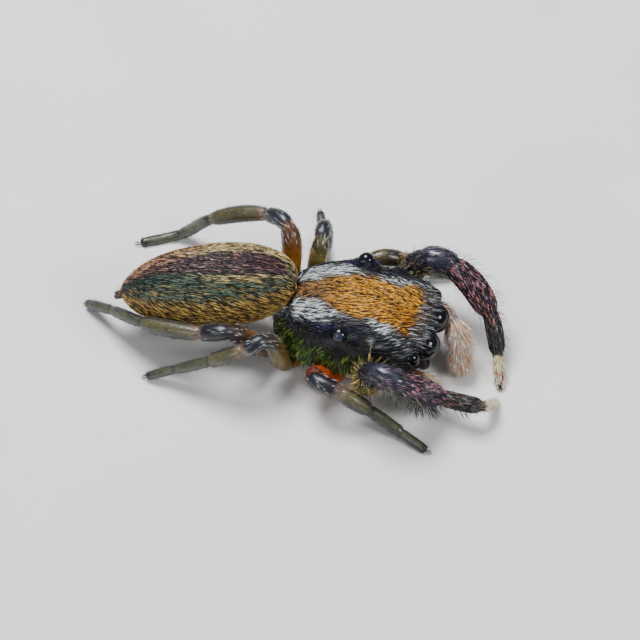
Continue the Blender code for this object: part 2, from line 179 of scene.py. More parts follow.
GOLD = paint(234, 160, 24)
BRONZE = paint(172, 104, 32)
CREAM = paint(238, 214, 150)
FROST = paint(238, 246, 250)
SLATE = paint(84, 98, 124)
VIOLET = paint(62, 58, 132)
SOOT = paint(16, 13, 20)
ASH = paint(50, 44, 50)
MOSS = paint(80, 118, 40)
STRAW = paint(206, 166, 84)
LIME = paint(166, 180, 76)
# Half width of the golden field, and middle and half width of the white stripe beside its rear, by x.
FIELD_EDGE = ((-1.05, -0.7, -0.3, 0.1, 0.45, 0.8, 1.1), (0.12, 0.24, 0.36, 0.47, 0.48, 0.58, 0.64))
STRIPE_MIDDLE = ((-1.15, -0.9, -0.6, -0.3, 0.0), (0.24, 0.33, 0.45, 0.49, 0.50))
STRIPE_WIDTH = ((-1.2, -1.0, -0.8, -0.5, -0.2, 0.0), (0.0, 0.10, 0.17, 0.15, 0.07, 0.0))


def speckle(points, seed=0.0):
    """A number from 0 to 1 for each hair, with nothing in common with its neighbours."""
    return (np.sin(points @ (913.0 + seed, 577.0, 331.0)) * 43758.5) % 1


def shield_colour(points, normals):
    """Markings of the shield, for its skin and its coat alike."""
    x, y, z = points.T
    a = np.abs(y) + 0.05 * ripple(points, 7)
    field = np.interp(x, *FIELD_EDGE)
    colour = layer(SOOT * 2.2, SLATE * 0.45, band(speckle(points, 3.0), 0.55, 0.75))
    gold = layer(BRONZE * 0.55 + CREAM * 0.15, GOLD, band(x, -0.75, -0.10))
    gold = layer(gold, BRONZE, 0.7 * band(x, 0.50, 0.95) * band(y, 0.35, -0.35))
    colour = layer(colour, gold, 1 - band(a, field - 0.10, field + 0.08))
    width = np.interp(x, *STRIPE_WIDTH)
    beside = np.abs(a - np.interp(x, *STRIPE_MIDDLE))
    colour = layer(colour, FROST, 1 - band(beside, width * 0.6, width * 1.3 + 0.01))
    patch = np.hypot((x - 0.50) / 0.29, (a - 0.54 - 0.22 * (x - 0.50)) / 0.10)
    colour = layer(colour, FROST, 1 - band(patch, 0.6, 1.3))
    front = band(x + 0.5 * np.abs(y) + 0.05 * ripple(points, 9, 1.5), 1.14, 1.36)
    grey = layer(ASH, FROST * 0.55, band(speckle(points, 4.0), 0.50, 0.70))
    temple = band(x, 0.66, 0.84) * band(a, 0.60, 0.68) * band(a, 0.88, 0.82)
    colour = layer(colour, grey, np.maximum(front, 0.8 * temple))
    colour = layer(colour, SOOT * 1.5, band(x, 1.08, 1.16) * band(z, 1.20, 1.08))
    blue = band(speckle(points, 6.0), 0.35, 0.55) * band(a, 0.60, 0.68) * band(a, 0.86, 0.78)
    colour = layer(colour, VIOLET, 0.7 * blue * band(x, -0.04, -0.14) * band(x, -0.56, -0.40))
    side = band(z, 1.28, 1.14) * band(a, 0.55, 0.7)
    colour = layer(colour, SOOT * 0.9, side * (1 - 0.5 * front))
    moss = layer(MOSS, LIME, band(speckle(points), 0.60, 0.80))
    low = z + 0.03 * ripple(points, 13, 4.0)
    return layer(colour, moss, band(low, 1.12, 1.03) * band(x, 0.56, 0.36) * band(x, -1.18, -1.0))


def set_out(name, mesh):
    """An object for a finished mesh, on the part's one body."""
    made = bpy.data.objects.new(name, mesh)
    bpy.context.scene.collection.objects.link(made)
    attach(made, "root")
    return made


def skin_over(name, surface, around, rows, colour_of, finish):
    """A closed skin: a sphere whose points are moved to a surface and carry its markings as colours."""
    bm = bmesh.new()
    bmesh.ops.create_uvsphere(bm, u_segments=around, v_segments=rows, radius=1.0)
    ball = np.array([vert.co for vert in bm.verts])
    share = np.arccos(np.clip(-ball[:, 2], -1, 1)) / math.pi
    for vert, place in zip(bm.verts, in_metres(surface(share, np.arctan2(ball[:, 1], ball[:, 0])))):
        vert.co = place
    if bm.calc_volume(signed=True) < 0:
        bmesh.ops.reverse_faces(bm, faces=bm.faces)
    mesh = bpy.data.meshes.new(name)
    bm.to_mesh(mesh)
    bm.free()
    mesh.shade_smooth()
    mesh.materials.append(finish)
    count = len(mesh.vertices)
    places, normals = np.empty(count * 3), np.empty(count * 3)
    mesh.vertices.foreach_get("co", places)
    mesh.vertices.foreach_get("normal", normals)
    colour = colour_of((places.reshape(-1, 3) - HOME) / MM, normals.reshape(-1, 3))
    tint = mesh.attributes.new("tint", "FLOAT_COLOR", "POINT")
    tint.data.foreach_set("color", np.hstack((colour, np.ones((count, 1)))).astype(np.float32).ravel())
    return set_out(name, mesh)


class Finish:
    """One output in a material's nodes: sums and products on it add their own nodes."""

    def __init__(self, tree, socket=None):
        self.tree = tree
        self.socket = socket

    def node(self, kind, settings=(), out=0, **values):
        made = self.tree.nodes.new("ShaderNode" + kind)
        for name, value in dict(settings).items():
            if name == "stops":
                for stop, (place, colour) in zip(made.color_ramp.elements, value):
                    stop.position = place
                    stop.color = colour
            else:
                setattr(made, name, value)
        for name, value in values.items():
            slot = made.inputs[int(name[1:])] if name[1:].isdigit() else made.inputs[name.replace("_", " ")]
            if isinstance(value, Finish):
                self.tree.links.new(value.socket, slot)
            else:
                slot.default_value = value
        return Finish(self.tree, made.outputs[out])

    def maths(self, operation, first, second):
        return self.node("Math", {"operation": operation}, i0=first, i1=second)

    def __add__(self, other):
        return self.maths("ADD", self, other)

    __radd__ = __add__

    def __mul__(self, other):
        return self.maths("MULTIPLY", self, other)

    __rmul__ = __mul__

    def __sub__(self, other):
        return self.maths("SUBTRACT", self, other)

    def __rsub__(self, other):
        return self.maths("SUBTRACT", other, self)

    def feed(self, surface, name):
        self.tree.links.new(self.socket, surface.inputs[name])


def new_finish(name, **constants):
    """A material with its surface's fixed values set, and the start of its nodes."""
    made = bpy.data.materials.new(name)
    made.use_nodes = True
    surface = made.node_tree.nodes["Principled BSDF"]
    for slot, value in constants.items():
        surface.inputs[slot.replace("_", " ")].default_value = value
    return made, surface, Finish(made.node_tree)


def mottled(start, noise, low, high):
    """A piece's markings, made darker and lighter in places by a noise."""
    stops = [(place, (value, value, value, 1)) for place, value in ((0.3, low), (0.7, high))]
    tint = start.node("Attribute", {"attribute_name": "tint"})
    shade = start.node("ValToRGB", {"stops": stops}, Fac=noise)
    product = {"data_type": "RGBA", "blend_type": "MULTIPLY"}
    return start.node("Mix", product, out=2, i0=1.0, i6=tint, i7=shade)


def cuticle(name, grain, roughness, depth, **constants):
    """Thin hard shell: its own markings, a fine grain, and gloss that varies a little."""
    made, surface, start = new_finish(name, **constants)
    place = start.node("TexCoord", out="Object")
    fine = start.node("TexNoise", Vector=place, Scale=grain, Detail=3.0)
    broad = start.node("TexNoise", Vector=place, Scale=grain / 9, Detail=2.0)
    mottled(start, broad, 0.62, 1.25).feed(surface, "Base Color")
    (fine * 0.25 + (roughness - 0.12)).feed(surface, "Roughness")
    start.node("Bump", Height=fine, Distance=depth * MM, Strength=0.6).feed(surface, "Normal")
    return made


def frame_at(surface, share, angle):
    """Point, slopes along and round, outward normal and area of a surface."""
    step = 1e-3
    here = surface(share, angle)
    by_share = (surface(share + step, angle) - surface(share - step, angle)) / (2 * step)
    by_angle = (surface(share, angle + step) - surface(share, angle - step)) / (2 * step)
    normal = np.cross(by_share, by_angle)
    area = np.linalg.norm(normal, axis=1)
    normal /= area[:, None] + 1e-12
    outward = here - surface(share, angle + math.pi)
    normal *= np.where((normal * outward).sum(axis=1) < 0, -1, 1)[:, None]
    return here, by_share, by_angle, normal, area


def unit(vectors):
    return vectors / (np.linalg.norm(vectors, axis=-1, keepdims=True) + 1e-12)


# Each hair's patch on the unwrap of the skin under it, and the lowest that hair hangs.
PATCH_WIDTH = 0.0024
PATCH_LENGTH = 0.0028
FLOOR = 0.002
scale_finish, scale_surface, scale_start = new_finish("scales", Roughness=0.36, Specular_IOR_Level=0.5)
scale_place = scale_start.node("TexCoord", out="Object")
streak = scale_start.node("TexNoise", Vector=scale_place, Scale=30000.0, Detail=1.0)
mottled(scale_start, streak, 0.8, 1.15).feed(scale_surface, "Base Color")


def blades(name, spines, up, width, thickness, tint, spot):
    """Thin closed blades, one for each spine: flat below, ridged above, and pointed."""
    count, knots = spines.shape[:2]
    ahead = unit(np.gradient(spines, axis=1))
    flat = unit(np.cross(ahead, up[:, None, :]))
    ridge = np.cross(flat, ahead)
    profile = np.interp(np.linspace(0, 1, knots), (0, 0.4, 0.75, 1), (0.7, 1.0, 0.7, 0.0))
    half = (width[:, None] * profile / 2)[..., None]
    tall = (thickness[:, None] * profile)[..., None]
    ring = np.stack((spines - flat * half, spines + flat * half, spines + ridge * tall), axis=2)[:, :-1]
    per = 3 * (knots - 1) + 1
    points = np.concatenate((ring.reshape(count, -1, 3), spines[:, -1:]), axis=1)
    points[..., 2] = np.maximum(points[..., 2], FLOOR)
    faces = [(0, 1, 2)]
    for row in range(knots - 2):
        for a, b in ((0, 1), (1, 2), (2, 0)):
            low, high = row * 3, row * 3 + 3
            faces += [(low + b, low + a, high + a), (low + b, high + a, high + b)]
    faces += [(per - 4 + b, per - 4 + a, per - 1) for a, b in ((0, 1), (1, 2), (2, 0))]
    corners = (np.array(faces)[None] + (np.arange(count) * per)[:, None, None]).reshape(-1, 3)
    mesh = bpy.data.meshes.new(name)
    mesh.from_pydata(in_metres(points.reshape(-1, 3)), [], corners.tolist())
    mesh.shade_smooth()
    run = np.repeat(np.linspace(0, 1, knots), [3] * (knots - 1) + [1])
    # Each blade is painted darker towards its root: painted shade in the gaps between the hairs.
    shade = (0.45 + 0.55 * np.minimum(1, run * 2.2))[None, :, None] * tint[:, None, :]
    colour = np.concatenate((shade, np.ones(shade.shape[:2] + (1,))), axis=2)
    told = mesh.attributes.new("tint", "FLOAT_COLOR", "POINT")
    told.data.foreach_set("color", colour.astype(np.float32).ravel())
    across = np.array([-1, 1, 0] * (knots - 1) + [0]) * PATCH_WIDTH / 2
    patch = np.stack((spot[:, :1] + across, spot[:, 1:] + (run - 0.5) * PATCH_LENGTH), axis=2)
    layout = mesh.uv_layers.new(name="OFBake")
    layout.data.foreach_set("uv", patch.reshape(-1, 2)[corners.ravel()].astype(np.float32).ravel())
    mesh.materials.append(scale_finish)
    return set_out(name, mesh)


# One run of random numbers serves all the hair, and no two roots share a cell of a fine grid.
draw = np.random.default_rng(11)
CELLS = 4096


def roots(surface, tries, spacing, keep):
    """Even, random places on a surface, where keep says how thickly hair grows."""
    share, angle = draw.uniform(0.006, 0.994, tries), draw.uniform(0, TURN, tries)
    here, *_, normal, area = frame_at(surface, share, angle)
    chosen = draw.uniform(size=tries) < area / np.percentile(area, 97)
    cells = np.floor(here / spacing).astype(np.int64)
    order = np.flatnonzero(chosen)
    _, first = np.unique(cells[order] @ (CELLS**2, CELLS, 1), return_index=True)
    order = order[np.sort(first)]
    order = order[draw.uniform(size=len(order)) < keep(here[order], normal[order])]
    return share[order], angle[order]


def spots(share, angle):
    """Places on the unwrap of a surface."""
    return np.stack((0.01 + 0.98 * (angle % TURN) / TURN, share), axis=1)


def flat_coat(name, surface, places, length, width, lie, colour_of, rise=0.02, variation=0.25, stray=0.05):
    """Scales and hairs that lie along a surface and follow it, tips a little proud."""
    share, angle = places
    here, by_share, by_angle, normal, _ = frame_at(surface, share, angle)
    aim = lie(here, normal, by_share)
    aim = unit(aim - normal * (aim * normal).sum(axis=1)[:, None])
    twist = draw.normal(0, stray, len(here))[:, None]
    aim = unit(aim + np.cross(normal, aim) * twist)
    long = length * draw.uniform(0.7, 1.25, len(here))
    ss = (by_share * by_share).sum(axis=1)
    sa = (by_share * by_angle).sum(axis=1)
    aa = (by_angle * by_angle).sum(axis=1)
    on_share, on_angle = (aim * by_share).sum(axis=1), (aim * by_angle).sum(axis=1)
    det = ss * aa - sa * sa + 1e-12
    share_step = (on_share * aa - on_angle * sa) / det * long
    angle_step = (on_angle * ss - on_share * sa) / det * long
    lift = rise * draw.uniform(0.5, 1.5, len(here))
    spines = []
    for t in np.linspace(0, 1, 4):
        at_share = np.clip(share + share_step * t, 0.004, 0.996)
        height = -0.008 + (lift + 0.008) * min(1, t * 1.4)
        on = surface(at_share, angle + angle_step * t)
        straight = here + aim * (long * t)[:, None]
        far = np.linalg.norm(on - straight, axis=1) > 0.6 * long
        on[far] = straight[far]
        spines.append(on + normal * height[:, None])
    tint = np.clip(colour_of(here, normal) * np.exp(draw.normal(0, variation, len(here)))[:, None], 0, 0.95)
    wide = width * draw.uniform(0.7, 1.3, len(here))
    return blades(name, np.stack(spines, axis=1), normal, wide, wide * 0.4, tint, spots(share, angle))


def partings(points, across, along, share):
    """Darkens about this share of the hairs, in fine broken lines that run with the coat."""
    lines = (
        np.sin(104 * across + 3.1 * np.sin(6.7 * along))
        + np.sin(137 * across - 2.6 * np.sin(8.3 * along + 1))
        + np.sin(83 * across + 2.3 * np.sin(11.1 * along + 2) + 4)
    ) / 3
    return np.where(lines + 0.35 * speckle(points, 17.0) > 0.80 - 1.35 * share, 0.07, 1.0)[:, None]


def shield_coat_colour(points, normals):
    """The shield's markings with dark lines between the hairs, on its top and on its lower edge."""
    x, y, z = points.T
    pale = band(np.abs(y), 0.30, 0.45)
    low = z < 1.14
    across, along = np.where(low, 1.3 * x, 1.2 * (y - 0.12 * x * y)), np.where(low, z, x)
    return shield_colour(points, normals) * partings(points, across, along, 0.33 + 0.14 * pale)


def shield_lie(points, normals, along):
    """Hair runs forwards and in towards the middle on top, and down along the lower edge."""
    x, y, z = points.T
    turn = 0.22 * ripple(points, 4, 2.0) + 0.16 * ripple(points, 11)
    inward = -0.52 * np.tanh(y / 0.38) * band(x, -0.6, 0.7)
    forward = np.stack((np.ones_like(x), inward + turn, 0 * x), axis=1)
    down = np.stack((-0.35 + 2 * turn, 0 * x, -np.ones_like(x)), axis=1)
    margin = band(z, 1.18, 1.08) * band(x, 0.6, 0.3)
    return layer(forward, down, np.maximum(margin, band(normals[:, 0], 0.6, 0.8)))


def shield_cover(points, normals):
    """Thick on top and along the lower edge, thin round the eyes and on the bare patch behind them."""
    x, y, z = points.T
    a = np.abs(y)
    top = band(a, 0.80, 0.62) * band(z, 1.0, 1.15)
    bare = band(a, 0.42, 0.52) * band(x, -0.35, -0.15) * band(x, 0.34, 0.22)
    eyes = band(np.hypot(x, a - 0.805), 0.18, 0.15)
    margin = band(z, 1.14, 1.05) * band(normals[:, 2], -0.6, -0.3) * band(x, 0.5, 0.3)
    face = band(normals[:, 0], 0.5, 0.8)
    growth = np.clip(top * (1 - 0.9 * bare) + 0.55 * margin + 0.6 * face + 0.25 * band(z, 1.30, 1.15), 0, 1)
    return growth * (1 - eyes) * band(normals[:, 2], -0.9, -0.7)


shell = cuticle("shell", 26000.0, 0.38, 0.003, Coat_Weight=0.08, Coat_Roughness=0.30, Specular_IOR_Level=0.28)
shield = skin_over(
    "shield", shield_surface, 120, 90,
    lambda points, normals: SOOT * 0.6 + 0.05 * shield_colour(points, normals), shell,
)
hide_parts("carapace")
places = roots(shield_surface, 220000, 0.028, shield_cover)
shield_coat = flat_coat("shield_coat", shield_surface, places, 0.19, 0.0165, shield_lie, shield_coat_colour)

# The rear part of the body is a soft long sac, tapered to the rear and lifted a little at the waist. It is
# covered with flat hairs: a dark bronze stripe down its back, pale stripes beside it, grey-green flanks.
SAC_TABLE = np.array((
    (0.0, 0.0), (0.015, 0.20), (0.05, 0.38), (0.13, 0.63), (0.28, 0.87), (0.46, 0.99),
    (0.62, 1.00), (0.77, 0.91), (0.88, 0.74), (0.955, 0.50), (0.99, 0.24), (1.0, 0.0),
))
SAC_CENTRE = np.array((-2.40, -0.15, 1.01))
SAC_LENGTH = 2.92
SAC_HALF_WIDTH = 0.72
SAC_HALF_HEIGHT = 0.60
SAC_SWING = math.radians(12.5)
SAC_LIFT = math.radians(11.0)
SAC_TURN = np.array(Matrix.Rotation(SAC_SWING, 3, "Z") @ Matrix.Rotation(-SAC_LIFT, 3, "Y"))
sac_shares = chord_shares(SAC_TABLE * (SAC_LENGTH, SAC_HALF_WIDTH))


def sac_surface(share, angle):
    """Points of the rear body, by the share of its length from the rear end and the angle round it."""
    along, thickness = smooth_through(sac_shares, SAC_TABLE, share).T
    local = np.stack((
        SAC_LENGTH * (along - 0.5),
        SAC_HALF_WIDTH * thickness * np.cos(angle) * (1 - SKIN_DEPTH),
        SAC_HALF_HEIGHT * thickness * np.sin(angle) * (1 - SKIN_DEPTH),
    ), axis=1)
    return SAC_CENTRE + local @ SAC_TURN.T


TEAL = paint(84, 108, 92)
PEACH = paint(222, 168, 132)
PLUM = paint(84, 56, 68)
DUSK = paint(52, 62, 62)


def sac_colour(points, normals):
    """Markings of the rear body, by how far round from the top a point lies."""
    local = (points - SAC_CENTRE) @ SAC_TURN
    along = local[:, 0] / SAC_LENGTH + 0.5
    round_by = np.degrees(np.arctan2(-local[:, 1] / SAC_HALF_WIDTH, local[:, 2] / SAC_HALF_HEIGHT))
    round_by = round_by + 3.5 * ripple(points, 5, 1.0)
    a = np.abs(round_by)
    near = band(round_by, -8, 8)
    flank = layer(TEAL, DUSK, band(along, 0.30, 0.03))
    flank = layer(flank, STRAW, band(a, 54, 78))
    far = layer(PEACH * 0.9, CREAM * 0.8, band(along, 0.3, 0.8))
    flank = layer(flank, far, (1 - near) * band(a, 95, 70))
    edge = 9 + 13 * band(along, 0.15, 0.85)
    pale = band(a, edge - 2, edge + 2) * band(a, edge + 12, edge + 5) * band(along, 0.38, 0.75)
    flank = layer(flank, CREAM * 0.85, pale)
    stripe = band(a, edge + 2, edge - 4) * band(along, 0.05, 0.30) * band(along, 0.99, 0.96)
    mixed = layer(PLUM, PEACH * 0.8, 0.6 * band(speckle(points, 9.0), 0.72, 0.82))
    flank = layer(flank, mixed, stripe)
    flank = layer(flank, STRAW * 0.70, 0.8 * band(speckle(points, 5.0), 0.66, 0.78) * band(a, 20, 34))
    flank = layer(flank, CREAM * 0.50 + FROST * 0.06, 0.4 * band(along, 0.965, 0.995) * band(a, 120, 90))
    return layer(flank, BRONZE * 0.4 + TEAL * 0.15, band(a, 122, 150))


def sac_lie(points, normals, along):
    """Hair runs to the rear, and a little up the flanks."""
    back = unit(-along)
    upward = np.array((0, 0, 1.0))[None] - normals * normals[:, 2:]
    steep = band(normals[:, 2], 0.95, 0.5)[:, None]
    waves = (0.20 * ripple(points, 6, 3.0) + 0.12 * ripple(points, 14))[:, None]
    return back + 0.70 * upward * steep + np.cross(normals, back) * waves


def sac_coat_colour(points, normals):
    """The same markings with dark lines between the hairs, which slant down the flanks."""
    local = (points - SAC_CENTRE) @ SAC_TURN
    down = SAC_HALF_WIDTH * np.abs(np.arctan2(local[:, 1], local[:, 2] + 0.1))
    across = 1.45 * (down - 0.58 * band(down, 0.1, 0.4) * local[:, 0])
    return 0.95 * sac_colour(points, normals) * partings(points, across, local[:, 0], 0.44)


def sac_cover(points, normals):
    return 0.25 + 0.75 * band(normals[:, 2], -0.9, -0.3)


sac_skin = cuticle("soft_skin", 22000.0, 0.45, 0.004)
sac = skin_over(
    "rear_body", sac_surface, 96, 80,
    lambda points, normals: SOOT + 0.12 * sac_colour(points, normals), sac_skin,
)
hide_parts("abdomen")
places = roots(sac_surface, 260000, 0.0315, sac_cover)
sac_coat = flat_coat("rear_body_coat", sac_surface, places, 0.18, 0.0150, sac_lie, sac_coat_colour)

# Under the body lie the breast plate, between the roots of the legs, the thin waist and the spinnerets at
# the rear end. They are of the same thin shell, amber below.
PLATE_CENTRE = np.array((-0.16, 0.0, 0.33))
PLATE_RADII = np.array((0.98, 0.34, 0.135))


def plate_surface(share, angle):
    """Points of the breast plate, a low long dome."""
    polar = math.pi * share
    ball = np.stack((np.sin(polar) * np.cos(angle), np.sin(polar) * np.sin(angle), -np.cos(polar)), axis=1)
    return PLATE_CENTRE + ball * PLATE_RADII * (1 - SKIN_DEPTH)


def tube_surface(centres, radii, first_up=(0, 0, 1), tip=0.02):
    """A round surface along a run of points, with its top carried along without a twist."""
    centres, radii = np.asarray(centres, float), np.asarray(radii, float)
    ahead = unit(np.gradient(centres, axis=0))
    ups = [np.array(first_up, float)]
    for way in ahead:
        ups.append(unit(ups[-1] - way * (ups[-1] @ way)))
    ups = np.array(ups[1:])
    sides = np.cross(ups, ahead)
    steps = np.linalg.norm(np.diff(centres, axis=0), axis=1)
    run = np.concatenate(([0], np.cumsum(steps))) / steps.sum()
    columns = np.hstack((centres, sides, ups, radii[:, None]))

    def surface(share, angle):
        at = np.clip(share, 0, 1)
        row = np.stack([np.interp(at, run, column) for column in columns.T], axis=1)
        ends = np.sqrt(np.clip(1 - (1 - np.minimum(at, 1 - at) / tip) ** 2, 0, 1))
        ends = np.where(np.minimum(at, 1 - at) < tip, ends, 1.0)
        out = row[:, 3:6] * np.cos(angle)[:, None] + row[:, 6:9] * np.sin(angle)[:, None]
        points = row[:, :3] + out * (row[:, 9] * ends)[:, None]
        points[:, 2] = np.maximum(points[:, 2], FLOOR)
        return points

    return surface, ups


AMBER = paint(186, 112, 40)
UMBER = paint(92, 52, 26)


def plain_colour(first, second):
    """Two colours that run slowly into each other."""
    return lambda points, normals: layer(first, second, (ripple(points, 9) + 1) / 2)


horn = cuticle("thin_shell", 26000.0, 0.36, 0.003, Coat_Weight=0.20, Coat_Roughness=0.22)
plate = skin_over("breast_plate", plate_surface, 48, 28, plain_colour(AMBER * 0.8, UMBER), horn)
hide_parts("sternum")


def on_sac(along, aside, up):
    return SAC_CENTRE + SAC_TURN @ np.array((SAC_LENGTH * (along - 0.5), aside, up))


waist_run = np.linspace((-1.06, 0.0, 0.36), on_sac(0.84, 0, -0.28), 12)
waist_surface = tube_surface(waist_run, np.full(12, 0.095), (0, 1, 0))[0]
waist = skin_over("waist", waist_surface, 24, 20, plain_colour(SOOT, UMBER * 0.5), horn)
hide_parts("waist_stalk")

SPINNERET_ROOTS = ((-0.036, -0.035), (0.036, -0.035), (-0.030, -0.085), (0.030, -0.085))
spinneret_radii = np.interp(np.linspace(0, 1, 12), (0, 0.6, 1), (0.040, 0.034, 0.018))
for number, (aside, up) in enumerate(SPINNERET_ROOTS):
    run = np.linspace(on_sac(0.03, aside * 0.7, up + 0.02), on_sac(-0.052, aside, up - 0.02), 12)
    tube = tube_surface(run, spinneret_radii, (0, 1, 0), 0.1)[0]
    spinneret = skin_over(
        f"spinneret_{number + 1}", tube, 16, 20, plain_colour(paint(62, 62, 58), paint(34, 34, 36)), horn,
    )
    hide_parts("spinnerets")

# Eight eyes: smooth hard lenses, almost black, each set in a dark collar of the shield. The front middle
# pair is much the largest.
EYE_WAYS = {
    "front_middle": (1.0, 0.0, 0.05),
    "front_side": (0.86, 0.50, 0.10),
    "small": (0.10, 0.75, 0.66),
    "rear": (0.0, 0.78, 0.62),
}
NIGHT = paint(4, 4, 6)
# The next two colours are painted light on the lenses: a glint round each rim, and a bluish reflection of the
# sky in the middle of the rear pair.
GLINT = paint(14, 18, 26)
PAINTED_SKY_REFLECTION = paint(44, 50, 64)


def turned_surface(profile, centre, way, radius):
    """A surface turned round a way out of the body, from a profile of (radius, height) pairs."""
    profile = np.asarray(profile, float)
    stations = chord_shares(profile)
    way = unit(np.array(way, float))
    side = unit(np.cross(way, (0.1, 0.2, 1.0)))
    up = np.cross(way, side)

    def surface(share, angle):
        out, along = smooth_through(stations, profile, share).T * radius
        ring = side * np.cos(angle)[:, None] + up * np.sin(angle)[:, None]
        return centre + way * along[:, None] + ring * np.maximum(out, 0)[:, None]

    return surface


LENS = [(math.sin(math.pi * step / 12), -math.cos(math.pi * step / 12)) for step in range(13)]
COLLAR = (
    (0, -0.62), (0.80, -0.60), (1.12, -0.45), (1.10, -0.24),
    (1.01, -0.08), (0.93, -0.10), (0.55, -0.3), (0, -0.4),
)
lens_finish, lens_surface, lens_start = new_finish(
    "lens", Roughness=0.03, Coat_Weight=0.2, Coat_Roughness=0.02, Specular_IOR_Level=0.3,
)
lens_start.node("Attribute", {"attribute_name": "tint"}).feed(lens_surface, "Base Color")
lens_place = lens_start.node("TexCoord", out="Object")
smear = lens_start.node("TexNoise", Vector=lens_place, Scale=9000.0, Detail=2.0)
(smear * 0.05 + 0.05).feed(lens_surface, "Roughness")
for name, way in EYE_WAYS.items():
    for side, mirror in (("left", 1), ("right", -1)):
        low, high = (np.array(corner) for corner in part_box(f"eye_{name}_{side}"))
        centre = ((low + high) / 2 - HOME) / MM
        radius = float((high - low)[2]) / 2 / MM
        way_out = np.array(way) * (1, mirror, 1)
        reflection_share = float(name == "rear")

        def lens_colour(points, normals):
            facing = unit(points - centre) @ unit(way_out)
            # Painted light: the rim is painted lighter as a glint, and the rear lenses get a painted bluish
            # reflection at their middle.
            dark = layer(NIGHT, GLINT, band(facing, 0.75, 0.25))
            return layer(dark, PAINTED_SKY_REFLECTION, reflection_share * band(facing, 0.72, 0.92))

        lens = turned_surface(LENS, centre, way_out, radius)
        eye = skin_over(f"eye_{name}_{side}_lens", lens, 40, 28, lens_colour, lens_finish)
        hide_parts(f"eye_{name}_{side}")
        ring = turned_surface(COLLAR, centre, way_out, radius)
        collar = skin_over(
            f"eye_{name}_{side}_collar", ring, 40, 24, plain_colour(SOOT * 0.8, SOOT * 1.4), shell,
        )

# Two short jaws hang under the face: glossy dark brown shell, each with a small fang folded under it.
JAW_TOP = np.array((1.08, 0.185, 0.66))
JAW_TIP = np.array((1.27, 0.150, 0.15))
JAW_RADIUS = 0.160
JAW_SWELL = ((0, 0.25, 0.5, 0.75, 1), (0.9, 1.0, 0.98, 0.8, 0.5))
FANG = ((1.30, 0.17, 0.17), (1.30, 0.10, 0.07), (1.22, 0.03, 0.12))


def hooked_run(start, bend, end, count):
    """Points along a hook that leaves its start towards the bend and comes back to its end."""
    steps = np.linspace(0, 1, count)[:, None]
    return start * (1 - steps) ** 2 + 2 * bend * steps * (1 - steps) + end * steps**2


for side, mirror in (("left", 1), ("right", -1)):
    run = np.linspace(JAW_TOP * (1, mirror, 1), JAW_TIP * (1, mirror, 1), 20)
    radii = JAW_RADIUS * np.interp(np.linspace(0, 1, 20), *JAW_SWELL)
    jaw_surface = tube_surface(run, radii, (1, 0, 0), 0.08)[0]
    jaw = skin_over(f"jaw_{side}", jaw_surface, 32, 32, plain_colour(UMBER * 0.15, paint(24, 16, 15)), shell)
    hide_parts(f"chelicera_{side}")
    run = hooked_run(*(np.array(point) * (1, mirror, 1) for point in FANG), 12)
    fang_surface = tube_surface(run, np.linspace(0.026, 0.004, 12), (1, 0, 0), 0.04)[0]
    fang = skin_over(f"fang_{side}", fang_surface, 12, 20, plain_colour(UMBER, paint(60, 16, 8)), horn)

# Each palp is a small leg beside the mouth: brown and translucent, with a dense brush of long pale hair at
# its end, peach at the roots and white at the tips.
PALP_JOINTS = {
    "left": (
        (0.92, 0.36, 0.40), (1.10, 0.56, 0.52), (1.37, 0.60, 0.82),
        (1.64, 0.36, 0.62), (1.82, 0.03, 0.28),
    ),
    "right": (
        (0.92, -0.36, 0.38), (1.04, -0.52, 0.37), (1.22, -0.57, 0.44),
        (1.38, -0.54, 0.36), (1.52, -0.47, 0.20),
    ),
}
PALP_RADII = (0.080, 0.095, 0.085, 0.080, 0.050)


def curved_run(start, end, start_way, end_way, shares):
    """Points along a curve that leaves and arrives along the two given ways."""
    s = np.asarray(shares)[:, None]
    reach = np.linalg.norm(end - start)
    return (
        start * (2 * s**3 - 3 * s**2 + 1) + start_way * reach * (s**3 - 2 * s**2 + s)
        + end * (3 * s**2 - 2 * s**3) + end_way * reach * (s**3 - s**2)
    )


def joint_ways(joints):
    """The way that a limb runs at each of its joints."""
    steps = unit(np.diff(joints, axis=0))
    return np.concatenate((steps[:1], unit(steps[:-1] + steps[1:]), steps[-1:]))


def nearest(points, run):
    """Which point of a run each of the points lies nearest to."""
    return np.linalg.norm(points[:, None] - run[None], axis=2).argmin(axis=1)


def free_hair(name, surface, places, length, width, aim_of, colour_of, bend=(0, 0, 0)):
    """Hair that stands off its root and bends over; its length is a number or a rule for each place."""
    share, angle = places
    here, by_share, _, normal, _ = frame_at(surface, share, angle)
    aim = unit(aim_of(here, normal, unit(by_share)) + draw.normal(0, 0.10, here.shape))
    long = length(here, normal) if callable(length) else length
    reach = (long * draw.uniform(0.7, 1.15, len(here)))[:, None, None]
    t = np.linspace(0, 1, 5)[None, :, None]
    spines = (here - normal * 0.01)[:, None] + aim[:, None] * reach * t + np.array(bend) * reach * t**2
    spines[..., 2] = np.maximum(spines[..., 2], FLOOR + 0.002)
    tint = np.clip(colour_of(here, normal) * np.exp(draw.normal(0, 0.25, len(here)))[:, None], 0, 0.95)
    wide = width * draw.uniform(0.7, 1.3, len(here))
    return blades(name, spines, normal, wide, wide * 0.35, tint, spots(share, angle))


BRUSH_PEACH = paint(236, 176, 130)
BRUSH_WHITE = paint(250, 246, 236)
BRUSH_LENGTH = {"left": 0.34, "right": 0.17}
BRUSH_FLARE = {"left": 0.62, "right": 0.40}
ARM_END = 0.66
BRUSH_START = 0.58


def palp_colour(part):
    colour = layer(UMBER * 0.8, AMBER * 0.7, band(part, 1.6, 2.8))
    return layer(colour, BRUSH_PEACH * 0.8, band(part, 2.8, 3.4))


def arm_hair_colour(points, part):
    pale = layer(UMBER, FROST * 0.7, band(speckle(points), 0.40, 0.50))
    return layer(pale, BRUSH_PEACH * 0.6, 0.5 * band(part, 2.2, 2.8))


def brush_colour(points, normals):
    return layer(BRUSH_PEACH, BRUSH_WHITE, band(speckle(points), 0.40, 0.60))


